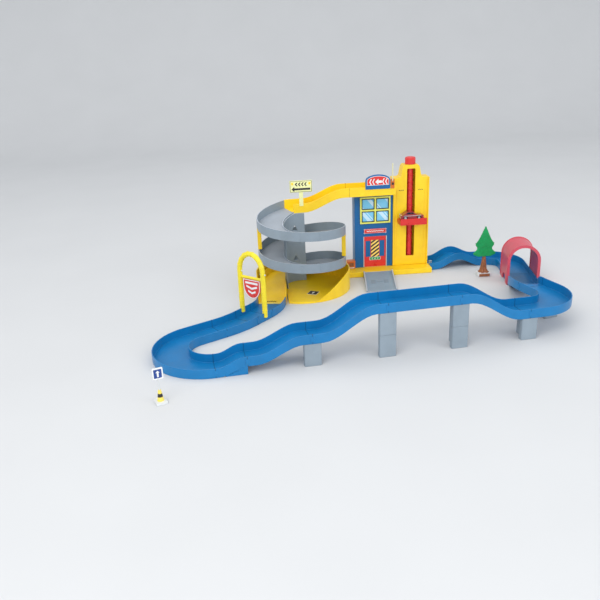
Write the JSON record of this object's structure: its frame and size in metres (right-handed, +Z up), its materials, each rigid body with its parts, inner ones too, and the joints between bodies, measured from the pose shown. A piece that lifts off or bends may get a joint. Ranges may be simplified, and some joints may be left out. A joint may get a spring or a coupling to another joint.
{
  "type": "toy parking garage",
  "caption": "Toy parking garage: a hand-cranked lift tower and shop front feed a roof deck, a spiral ramp and a walled track loop with pillars, a tunnel and an arch.",
  "frame": {"origin": "on the floor under the lift tower's front face, on the tower's middle", "axes": "+X to the right of the shop front, +Y to the back, +Z up"},
  "size_m": [1.1583, 0.8893, 0.3696],
  "materials": {
    "yellow_plastic": "glossy",
    "grey_plastic": "satin",
    "red_plastic": "glossy",
    "facade_blue": "glossy",
    "track_blue": "glossy",
    "tunnel_red": "glossy",
    "tree_green": "satin",
    "trunk_brown": "satin",
    "orange_plastic": "glossy",
    "pale_plastic": "satin",
    "window_blue": "glossy",
    "car_red": "glossy",
    "black_plastic": "satin"
  },
  "bodies": {
    "garage": {"building_base": "yellow_plastic", "tower_front": "yellow_plastic", "tower_back": "yellow_plastic", "window_frame": "yellow_plastic", "roof_deck": "yellow_plastic", "roof_chute": "yellow_plastic", "arrow_sign": "yellow_plastic", "post_left": "yellow_plastic", "post_right": "yellow_plastic", "round_base": "yellow_plastic", "exit_road": "yellow_plastic", "gate_arch": "yellow_plastic", "track_tab": "grey_plastic", "exit_ramp": "grey_plastic", "ramp_upper": "grey_plastic", "ramp_lower": "grey_plastic", "spiral_core": "grey_plastic", "pillar_first": "grey_plastic", "pillar_second_lower": "grey_plastic", "pillar_second_upper": "grey_plastic", "pillar_third_lower": "grey_plastic", "pillar_third_upper": "grey_plastic", "pillar_fourth": "grey_plastic", "pillar_fifth": "grey_plastic", "door_sign": "red_plastic", "gate_sign": "red_plastic", "facade_wall": "facade_blue", "roof_sign": "facade_blue", "street_sign_plate": "facade_blue", "track_adapter": "track_blue", "track_gate": "track_blue", "track_bend": "track_blue", "track_loop": "track_blue", "track_foot": "track_blue", "track_rise_low": "track_blue", "track_rise_high": "track_blue", "track_level": "track_blue", "track_drop": "track_blue", "track_turn": "track_blue", "track_tunnel_ramp": "track_blue", "track_corner": "track_blue", "track_hump": "track_blue", "tunnel": "tunnel_red", "tree_foliage": "tree_green", "tree_stand": "trunk_brown", "barrier_post": "orange_plastic", "kiosk": "orange_plastic", "street_sign_base": "pale_plastic", "window_glass": "window_blue"},
    "platform": {"lift_platform": "red_plastic"},
    "screw": {"lift_screw": "red_plastic", "lift_knob": "red_plastic"},
    "door": {"door_leaf": "red_plastic"},
    "barrier": {"barrier_arm": "pale_plastic"},
    "car": {"car_body": "car_red", "car_chassis": "black_plastic"},
    "front_wheels": {"car_front_axle": "black_plastic"},
    "rear_wheels": {"car_rear_axle": "black_plastic"}
  },
  "joints": [
    {"name": "lift_travel", "type": "slide", "parent": "garage", "child": "platform", "axis": [0, 0, 1], "range_m": [-0.128, 0.0884]},
    {"name": "screw_turn", "type": "hinge", "parent": "garage", "child": "screw", "pos_m": [0.0055, 0.017, 0.3], "axis": [0, 0, 1], "range_deg": [-2000, 1400]},
    {"name": "door_swing", "type": "hinge", "parent": "garage", "child": "door", "pos_m": [-0.111, 0.002, 0.119], "axis": [-1, 0, 0], "range_deg": [0, 75]},
    {"name": "barrier_swing", "type": "hinge", "parent": "garage", "child": "barrier", "pos_m": [-0.0643, -0.0418, 0.31], "axis": [-1, 0, 0], "range_deg": [0, 88]},
    {"name": "car_roll", "type": "slide", "parent": "platform", "child": "car", "axis": [1, 0, 0], "range_m": [-0.006, 0.004]},
    {"name": "front_wheel_spin", "type": "hinge", "parent": "car", "child": "front_wheels", "pos_m": [-0.019, -0.0208, 0.1838], "axis": [0, 1, 0], "continuous": true},
    {"name": "rear_wheel_spin", "type": "hinge", "parent": "car", "child": "rear_wheels", "pos_m": [0.025, -0.0208, 0.1838], "axis": [0, 1, 0], "continuous": true}
  ],
  "couplings": [
    {"joint": "screw_turn", "follows": "lift_travel", "rad_per_m": 261.8}
  ]
}
